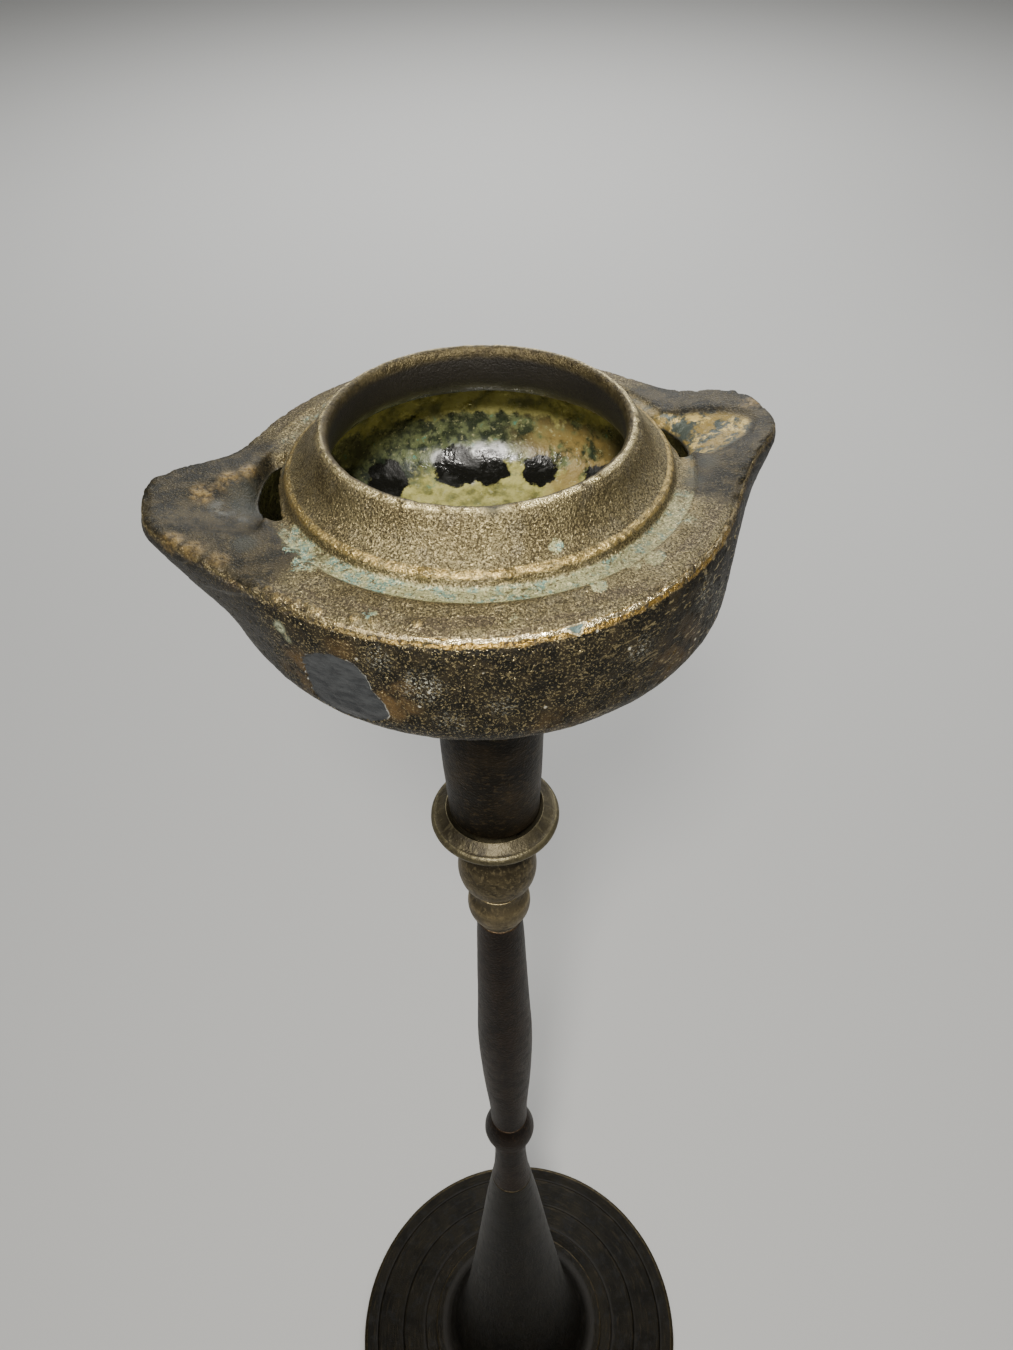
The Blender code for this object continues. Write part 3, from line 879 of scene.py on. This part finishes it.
class Layers:
    """Colour, metal share, roughness and relief, painted one layer over another."""

    def __init__(self, paint, colour, metal, rough, relief):
        self.paint = paint
        self.colour, self.metal, self.rough, self.relief = colour, metal, rough, relief

    def lay(self, share, colour=None, metal=None, rough=None, relief=None):
        p = self.paint
        if colour is not None:
            self.colour = p.mix(share, self.colour, colour)
        if metal is not None:
            self.metal = p.level(share, self.metal, metal)
        if rough is not None:
            self.rough = p.level(share, self.rough, rough)
        if relief is not None:
            self.relief = p.level(share, self.relief, relief)

    def finish(self, depth):
        p = self.paint
        p.set(Base_Color=self.colour, Metallic=self.metal, Roughness=self.rough)
        p.set(Normal=p.bump(self.relief, depth))
        return p.material


class LampPaint(Paint):
    """The lamp's paint, with the fields and patterns that several of its layers share."""

    def __init__(self):
        super().__init__("old_lamp_bronze")
        self.away = self.radius()
        self.side = self.part_of_place("X")
        self.height = self.part_of_place("Z")
        self.edge = self.attribute("edge_gap")
        self.sunk = self.attribute("sunk")
        self.inside = self.attribute("inside")
        self.outside = self.without(self.inside)
        self.nozzle = self.attribute("nozzle")
        self.cloud = self.noise(9.0, 5.0)
        self.patches = self.noise(4.0, 5.0, 0.6, 3.0)
        self.bits = self.noise(1.2, 3.0, 0.65, 4.0)
        self.grain = self.noise(0.46, 2.0, 0.8, 1.0)
        self.fine = self.noise(0.36, 1.0, 0.6, 2.0)
        self.rings = self.noise(1.6, 3.0, 0.6, 5.0, self.around(9.0))
        self.glint = self.ramp(self.grain, 0.54, 0.62)


def bare_metal(p):
    """The collar and the shoulder: olive-brown metal with a fine golden grain."""
    coat = Layers(p, p.mix(p.ramp(p.cloud, 0.36, 0.64), *BROWN), 0.85, 0.44, p.grain)
    coat.lay(p.times(p.ramp(p.patches, 0.48, 0.66), 0.6), DULL_BROWN)
    on_shoulder = p.times(p.band(p.edge, 0.8, 5.6, 0.8), p.ramp(p.rings, 0.4, 0.6))
    coat.lay(p.times(on_shoulder, 0.8), SHOULDER_BROWN, 0.75, 0.5, p.times(p.grain, 0.6))
    coat.lay(p.times(p.ramp(p.fine, 0.53, 0.43), 0.8), GRAIN_GAP, None, 0.6)
    coat.lay(p.times(p.glint, 0.5), GRAIN_GOLD, 1.0, 0.25)
    return coat


def lay_worn_places(p, coat):
    """High places, the step's ridge and the lip, rubbed golden."""
    worn = p.ramp(p.attribute("fine_relief"), 0.05, 0.16)
    coat.lay(p.times(worn, p.ramp(p.bits, 0.42, 0.62), 0.6), WORN_GOLD, 0.95, 0.34)
    up_step = p.ramp(p.height, STEP_HEIGHT - 1.2, STEP_HEIGHT - 0.4)
    ridge = p.times(p.band(p.away, 35.2, 36.0, 0.4), up_step)
    coat.lay(p.times(ridge, p.ramp(p.bits, 0.4, 0.58, 0.1, 0.8)), RIDGE_GOLD, 1.0, 0.28)
    lip = p.times(p.ramp(p.height, CREST - 1.1, CREST - 0.4), p.band(p.away, 27.6, 29.6, 0.4))
    rubbed = p.ramp(p.noise(2.4, 4.0, 0.6, 8.0), 0.4, 0.52)
    coat.lay(p.times(lip, rubbed), LIP_GOLD, 1.0, 0.26)


def lay_bowl(p, coat):
    """The bowl: nearly black, with bright grains that lie along its rings, stains and pale crusts."""
    on_bowl = p.times(p.ramp(p.edge, -0.9, -2.1), p.outside)
    shade = p.mix(p.ramp(p.patches, 0.42, 0.64), *BOWL_BLACK)
    coat.lay(on_bowl, shade, 0.6, 0.52, p.plus(p.times(p.bits, 0.9), p.times(p.grain, 0.9)))
    drawn = p.ramp(p.noise(0.7, 3.0, 0.7, 6.0, p.around(14.0)), 0.57, 0.66)
    dense = p.level(p.ramp(p.side, -5.0, 30.0), p.ramp(p.grain, 0.565, 0.63), drawn)
    coat.lay(p.times(on_bowl, dense, p.ramp(p.cloud, 0.3, 0.55, 0.35, 0.9)), BOWL_GOLD, 1.0, 0.24)
    stained = p.times(p.attribute("rust"), p.ramp(p.patches, 0.36, 0.56), 0.8)
    coat.lay(stained, RUST_BROWN, 0.5, 0.52)
    pale = p.times(p.attribute("pale"), p.ramp(p.noise(0.5, 3.0, 0.8, 9.0), 0.54, 0.62))
    coat.lay(p.times(pale, on_bowl), PALE_CRUST, 0.3, 0.5)
    scattered = p.times(p.ramp(p.cells(3.4, 3.0), 0.13, 0.06), p.ramp(p.patches, 0.5, 0.6), on_bowl)
    coat.lay(p.times(scattered, 0.8), PALE_SPECK, 0.2, 0.5)
    under_nozzle = p.times(p.nozzle, p.ramp(p.edge, -0.7, -1.6), p.outside)
    coat.lay(p.times(under_nozzle, 0.8), NOZZLE_BLACK, 0.6, 0.5)
    grey_lines = p.ramp(p.noise(2.2, 4.0, 0.65, 12.0, p.around(5.0)), 0.58, 0.72)
    coat.lay(p.times(under_nozzle, grey_lines, 0.6), NOZZLE_GREY)


def lay_edge(p, coat):
    """The edge: ochre metal with black pits, and a pale line along its very corner: worn metal and a painted
    highlight. Both are painted strongest on the front, as painted light.
    """
    ragged = p.plus(p.edge, p.times(p.plus(p.noise(2.6, 4.0, 0.7, 26.0), -0.5), 2.4))
    band = p.times(p.ramp(ragged, -2.2, -1.3), p.ramp(p.edge, 0.7, 0.2), p.outside)
    towards_front = p.ramp(p.part_of_place("Y"), -26.0, -40.0, 0.15, 1.0)
    # The front, where the light falls: the edge's colours are painted strongest here, as painted light.
    lit_front = p.times(towards_front, p.ramp(p.side, -29.0, -15.0, 0.25, 1.0))
    mottled = p.ramp(p.plus(p.bits, p.times(p.cloud, 0.5)), 0.56, 0.78)
    coat.lay(p.times(band, lit_front, mottled), EDGE_OCHRE, 0.95, 0.34)
    pits = p.times(band, p.ramp(p.noise(0.8, 2.0, 0.7, 7.0), 0.53, 0.59))
    coat.lay(p.times(pits, 0.9), EDGE_PIT, 0.3, 0.7, p.times(p.bits, -0.5))
    corner = p.times(p.band(ragged, -0.55, 0.25, 0.25), p.band(p.edge, -0.9, 0.5, 0.3), p.outside)
    bright = p.ramp(p.plus(p.bits, p.times(p.cloud, 0.4)), 0.56, 0.72)
    # The corner line: worn metal, and a painted highlight that is brightest on the front.
    coat.lay(p.times(corner, bright, lit_front), EDGE_WEAR_AND_HIGHLIGHT, 1.0, 0.24)


def lay_nozzles(p, coat):
    """The nozzles' smooth dark tops, the crusts, smears and sooty marks in their troughs, and painted shade
    around the left wick hole and inside both wick holes.
    """
    smear = p.noise(3.2, 4.0, 0.6, 14.0)
    smooth_top = p.times(p.nozzle, p.ramp(p.edge, -0.9, 0.1), p.outside, p.ramp(p.away, 37.5, 41.5))
    top = p.mix(p.ramp(smear, 0.38, 0.62), *NOZZLE_TOP)
    top_share = p.times(smooth_top, p.without(p.times(p.glint, 0.15)))
    coat.lay(top_share, top, 0.65, 0.5, p.times(p.grain, 0.5))
    in_right = p.times(p.ramp(p.sunk, 0.2, 1.0), p.ramp(p.side, 34.0, 40.0), p.outside)
    coat.lay(in_right, p.mix(p.ramp(smear, 0.44, 0.56), *TROUGH_CRUST), 0.4, 0.5, p.bits)
    flakes = p.times(p.ramp(p.patches, 0.52, 0.6), p.ramp(p.bits, 0.4, 0.55))
    coat.lay(p.times(in_right, flakes), TROUGH_YELLOW)
    ochre = p.times(p.attribute("ochre"), p.ramp(smear, 0.36, 0.52))
    coat.lay(ochre, p.mix(p.ramp(p.bits, 0.35, 0.65), *OCHRE_CRUST), 0.5, 0.5, p.bits)
    grey = p.times(p.attribute("slate"), p.ramp(p.patches, 0.4, 0.55), 0.7)
    coat.lay(grey, SMEAR_GREY, 0.4, 0.5)
    # Soot, and painted shade around the left wick hole.
    coat.lay(p.times(p.attribute("soot_and_shade"), 0.9), SOOT_AND_SHADE_BLACK, 0.2, 0.55)
    # Black painted shade inside the wick holes, under the step.
    below_step = p.ramp(p.height, 547.6, 545.8)
    tunnel_shade = p.times(below_step, p.band(p.away, 30.0, 41.4, 0.6), p.ramp(p.sunk, 0.5, 2.0))
    coat.lay(tunnel_shade, TUNNEL_SHADE_BLACK, 0.0, 0.75)


def hollow_colour(p, wet, flow):
    """Old oil over ochre and green crusts, with painted shade under the collar and into the nozzles."""
    wavy = p.plus(p.times(p.plus(wet, -0.5), 9.0), p.times(p.plus(flow, -0.5), 6.0))
    level = p.plus(p.height, wavy)
    crusted = p.math("MAXIMUM", p.band(level, 535.6, 544.5, 1.4), p.ramp(level, 524.2, 522.0))
    within = p.mix(p.ramp(flow, 0.42, 0.6), *OIL_GREEN)
    within = p.mix(p.ramp(flow, 0.62, 0.7), within, OIL_TEAL)
    yellow = p.mix(p.ramp(p.patches, 0.4, 0.62), *CRUST_YELLOW)
    within = p.mix(p.times(crusted, p.ramp(p.patches, 0.34, 0.5, 0.35, 1.0)), within, yellow)
    amber = p.times(p.ramp(p.side, 14.0, 28.0), p.ramp(wet, 0.42, 0.56), p.ramp(level, 538.0, 531.0))
    within = p.mix(p.times(amber, 0.8), within, CRUST_AMBER)
    within = p.mix(p.times(p.ramp(p.bits, 0.58, 0.68), 0.5), within, CRUST_CREAM)
    # Pale grey in the corner: scale, and a painted highlight.
    within = p.mix(p.times(p.attribute("scale_and_highlight"), p.ramp(flow, 0.36, 0.55)), within, SCALE_AND_HIGHLIGHT_GREY)
    pooled = p.plus(p.attribute("pools"), p.times(flow, 1.6), p.times(p.bits, 0.4))
    within = p.mix(p.ramp(pooled, 1.36, 1.62), within, POOL_BLACK)
    # Painted shade under the collar, at the top of the hollow.
    within = p.mix(p.ramp(p.height, 541.5, 545.0), within, CEILING_SHADE_BLACK)
    # Painted shade at both ends, where the hollow runs into the wick holes.
    ends = p.math("MAXIMUM", p.ramp(p.side, -29.0, -34.0), p.ramp(p.side, 35.0, 39.0))
    return p.mix(ends, within, END_SHADE_BLACK)


def lay_hollow(p, coat):
    """The hollow, glossy where oil has dried on it, and the dull throat above it, painted near black as
    shade.
    """
    wet = p.noise(5.5, 5.0, 0.6, 16.0)
    flow = p.noise(2.8, 4.0, 0.6, 17.0)
    gloss = p.ramp(wet, 0.42, 0.58, 0.2, 0.5)
    coat.lay(p.inside, hollow_colour(p, wet, flow), 0.1, gloss, p.plus(flow, p.times(p.bits, 0.4)))
    # The throat under the lip is painted near black: painted shade.
    shaded_throat = p.times(p.inside, p.ramp(p.height, 549.0, 553.0))
    coat.lay(shaded_throat, p.mix(p.cloud, *THROAT_SHADE_BROWN), 0.4, 0.6, p.grain)
    throat_lip = p.times(p.inside, p.ramp(p.height, CREST - 3.0, CREST - 1.2), 0.8)
    coat.lay(throat_lip, p.mix(p.ramp(p.bits, 0.35, 0.65), *THROAT_LIP), 0.85, 0.42)


def lay_verdigris(p, coat):
    """Green crust in the groove and in a few spots beside it."""
    low = p.ramp(p.height, GROOVE_FLOOR + 2.6, GROOVE_FLOOR + 1.4)
    in_groove = p.times(p.band(p.away, 37.0, 40.1, 0.5), low)
    lies = p.plus(p.attribute("verdigris"), p.times(p.patches, 1.1), p.times(p.bits, 0.9))
    crust = p.times(in_groove, p.ramp(lies, 1.28, 1.66), p.outside, p.ramp(p.height, 546.0, 547.5))
    near = p.attribute("verdigris_spot")
    spotted = p.ramp(p.plus(near, p.times(p.bits, 1.8)), 1.45, 1.75)
    crust = p.math("MAXIMUM", crust, p.times(spotted, p.ramp(near, 0.02, 0.2)))
    bluer = p.plus(p.noise(2.6, 3.0, 0.6, 20.0), p.ramp(p.side, -22.0, -30.0, 0.0, 0.08))
    green = p.mix(p.ramp(bluer, 0.5, 0.62), CRUST_GREEN, CRUST_TEAL)
    green = p.mix(p.ramp(p.grain, 0.53, 0.6), green, CRUST_GOLD)
    green = p.mix(p.ramp(p.noise(0.6, 2.0, 0.75, 22.0), 0.46, 0.38), green, CRUST_GAP)
    thinner = p.ramp(p.side, 4.0, 22.0, 0.85, 0.5)
    coat.lay(p.times(crust, thinner), green, 0.35, 0.55, p.plus(p.bits, p.times(p.grain, 0.8)))


def lay_marks(p, coat):
    """The slate-coloured patch, the chip, the green streak and the white specks."""
    patch = p.plus(p.attribute("patch"), p.times(p.plus(p.bits, -0.5), 1.6))
    streaked = p.noise(1.6, 5.0, 0.65, 24.0, p.around(16.0))
    slate = p.mix(p.ramp(streaked, 0.36, 0.66), *PATCH_SLATE)
    coat.lay(p.ramp(patch, -0.1, 0.2), slate, 0.35, 0.45, p.plus(p.times(p.fine, 0.3), p.times(p.rings, 0.8)))
    # The patch's pale rim: solder crumbs, and along its right edge a painted highlight where the raised edge
    # catches the light.
    lit_right_rim = p.ramp(p.side, -33.0, -30.0)
    rim_and_highlight = p.times(p.band(patch, -0.12, 0.08, 0.12), p.level(lit_right_rim, p.ramp(p.bits, 0.58, 0.66), 1.0))
    coat.lay(p.times(rim_and_highlight, p.ramp(p.height, 528.6, 530.0), 0.8), PATCH_RIM_AND_HIGHLIGHT, 0.4, 0.4)
    chip = p.attribute("chip")
    coat.lay(p.ramp(chip, -0.15, 0.15), p.mix(p.bits, *CHIP_TEAL), 0.3, 0.55)
    coat.lay(p.times(p.band(chip, -0.32, -0.12, 0.12), 0.85), CHIP_RIM, 0.8, 0.4)
    coat.lay(p.times(p.attribute("streak"), p.ramp(p.bits, 0.36, 0.5)), STREAK_GREEN, 0.05, 0.7)
    coat.lay(p.ramp(p.attribute("white"), 0.2, 0.6), WHITE_SPECK, 0.1, 0.45)


def lamp_bronze():
    p = LampPaint()
    coat = bare_metal(p)
    for lay in (lay_worn_places, lay_bowl, lay_edge, lay_nozzles, lay_hollow, lay_verdigris, lay_marks):
        lay(p, coat)
    return coat.finish(LAMP_BUMP)


def stand_bronze(name, deep, mid, worn, worn_from=0.02):
    """Dark turned bronze, browner in clouds and paler where hands and tools have worn it."""
    p = Paint(name)
    cloud, patches = p.noise(14.0, 5.0), p.noise(4.5, 5.0, 0.6, 3.0)
    grain, bits = p.noise(0.6, 2.0, 0.7, 1.0), p.noise(1.3, 3.0, 0.65, 4.0)
    rings = p.noise(0.9, 3.0, 0.6, 5.0, p.around(7.0))
    coat = Layers(p, p.mix(p.ramp(cloud, 0.36, 0.62), deep, mid), 0.8, 0.5, p.plus(grain, rings))
    coat.lay(p.times(p.ramp(patches, 0.5, 0.64), 0.6), tuple(c * 0.45 for c in deep), 0.5, 0.62)
    coat.lay(p.times(p.ramp(rings, 0.54, 0.66), 0.35), tuple(0.5 * (a + b) for a, b in zip(mid, worn)))
    high = p.ramp(p.attribute("fine_relief"), worn_from, worn_from + 0.07)
    coat.lay(p.times(high, p.ramp(bits, 0.36, 0.56, 0.3, 1.0), 0.85), worn, 0.9, 0.4)
    # Broad hollows of the turning are painted near black: painted shade.
    low = p.ramp(p.attribute("broad_relief"), -0.05, -0.25)
    coat.lay(p.times(low, 0.75), (0.012, 0.01, 0.007), 0.3, 0.68)
    coat.lay(p.times(p.ramp(grain, 0.64, 0.74), 0.4), worn, 0.9, 0.4)
    return coat.finish(0.13)


def forged_iron():
    p = Paint("forged_iron")
    cloud = p.noise(5.0, 5.0)
    colour = p.mix(p.ramp(cloud, 0.35, 0.65), (0.035, 0.03, 0.028), (0.1, 0.06, 0.04))
    p.set(Base_Color=colour, Metallic=0.7, Roughness=0.62)
    p.set(Normal=p.bump(p.noise(1.2, 4.0), 0.2))
    return p.material


def pale_floor():
    p = Paint("pale_floor")
    p.set(Base_Color=(0.62, 0.62, 0.6), Roughness=0.85)
    return p.material


# ---- camera, floor and lights ----


def view_frame():
    """The camera's place and axes: it looks down at the lamp from in front, a little to one side."""
    right = Vector((math.cos(VIEW_YAW), -math.sin(VIEW_YAW), 0))
    ahead = Vector(
        (
            math.sin(VIEW_YAW) * math.cos(VIEW_PITCH),
            math.cos(VIEW_YAW) * math.cos(VIEW_PITCH),
            -math.sin(VIEW_PITCH),
        )
    )
    up = right.cross(ahead)
    axes = Matrix((right, up, -ahead)).transposed() @ Matrix.Rotation(VIEW_ROLL, 3, "Z")
    leaned = Matrix.Rotation(VIEW_LEAN, 4, "Y")
    pivot = Vector((0, 0, CREST * MM))
    turn = Matrix.Rotation(VIEW_TURN, 4, "Z")
    place = Vector((0, -VIEW_DISTANCE, VIEW_HEIGHT))
    return turn @ Matrix.Translation(pivot) @ leaned @ Matrix.Translation(place - pivot) @ axes.to_4x4()


def camera():
    data = bpy.data.cameras.new("view")
    data.lens = LENS
    data.sensor_width = 36
    data.clip_start = 0.005
    data.clip_end = 60
    thing = link("view", data)
    thing.matrix_world = view_frame()
    bpy.context.scene.camera = thing


def lamp_light(name, place, target, size, power, colour=(1, 1, 1)):
    data = bpy.data.lights.new(name, "AREA")
    data.shape = "DISK"
    data.size = size
    data.energy = power
    data.color = colour
    thing = link(name, data)
    place = Matrix.Rotation(VIEW_TURN, 3, "Z") @ Vector(place)
    thing.location = place
    thing.rotation_euler = (Vector(target) - place).to_track_quat("-Z", "Y").to_euler()


def surroundings():
    world = bpy.data.worlds.new("studio")
    world.use_nodes = True
    world.node_tree.nodes["Background"].inputs["Color"].default_value = (1.0, 0.99, 0.97, 1)
    world.node_tree.nodes["Background"].inputs["Strength"].default_value = 0.125
    bpy.context.scene.world = world
    lamp_light("key", (-0.03, -0.27, 0.83), (0, 0, 0.54), 0.07, 4.5, (1.0, 0.96, 0.9))
    lamp_light("ceiling", (0.1, 2.0, 1.7), (0.1, 1.4, 0), 1.4, 44.0)
    lamp_light("back", (0.75, 0.85, 1.0), (0, 0, 0.35), 0.6, 3.5)
    form = bmesh.new()
    bmesh.ops.create_grid(form, x_segments=4, y_segments=4, size=12)
    mesh = bpy.data.meshes.new("floor")
    form.to_mesh(mesh)
    form.free()
    floor = link("floor", mesh)
    mesh.materials.append(pale_floor())


# ---- everything ----


def dress(thing, node, body, material):
    thing.data.materials.clear()
    thing.data.materials.append(material)
    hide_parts(node)
    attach(thing, body)


def build():
    bronze, iron = lamp_bronze(), forged_iron()
    foot = stand_bronze("foot_bronze", (0.01, 0.0075, 0.004), (0.034, 0.024, 0.012), (0.17, 0.12, 0.055))
    pan = stand_bronze("pan_bronze", (0.034, 0.028, 0.016), (0.085, 0.072, 0.042), (0.24, 0.21, 0.115), 0.01)
    # The shaft's and the base's copies of the bronze are the darkest, darker down the stand: dark patina, and
    # painted shade for the light falling off downwards.
    dark = stand_bronze("stand_bronze", (0.01, 0.0062, 0.004), (0.021, 0.0125, 0.0072), (0.11, 0.07, 0.035))
    bead = stand_bronze("bead_bronze", (0.045, 0.036, 0.02), (0.11, 0.088, 0.05), (0.44, 0.35, 0.18), 0.0)
    dark_base_and_shade = stand_bronze("base_bronze", (0.0055, 0.0048, 0.003), (0.012, 0.01, 0.006), (0.06, 0.046, 0.022))
    dress(lamp_body(), "lamp_body", "lamp", bronze)
    dress(turned("foot_tube", "lamp_foot", 0.6, 160), "lamp_foot", "lamp", foot)
    dress(worn_copy("socket_sleeve", "pricket_socket"), "pricket_socket", "lamp", foot)
    dress(worn_copy("pricket_spike", "pricket"), "pricket", "stand", iron)
    for name, node, spacing, sides, material in (
        ("pan_flange", "drip_pan", 0.35, 192, pan),
        ("bead_upper", "upper_bead", 0.5, 144, bead),
        ("bead_lower", "lower_bead", 0.5, 144, bead),
        ("shaft_turned", "shaft", 0.9, 128, dark),
        ("knop_turned", "knop", 0.6, 128, dark),
        ("stem_turned", "stem", 0.8, 128, dark),
        ("bell_turned", "foot_bell", 1.2, 192, dark_base_and_shade),
        ("disc_turned", "base_disc", 0.8, 288, dark_base_and_shade),
    ):
        dress(turned(name, node, spacing, sides), node, "stand", material)
    for node in ("core_rod", "rod_washer", "rod_nut"):
        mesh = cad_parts[node].data
        mesh.materials.clear()
        mesh.materials.append(iron)


camera()
surroundings()
build()
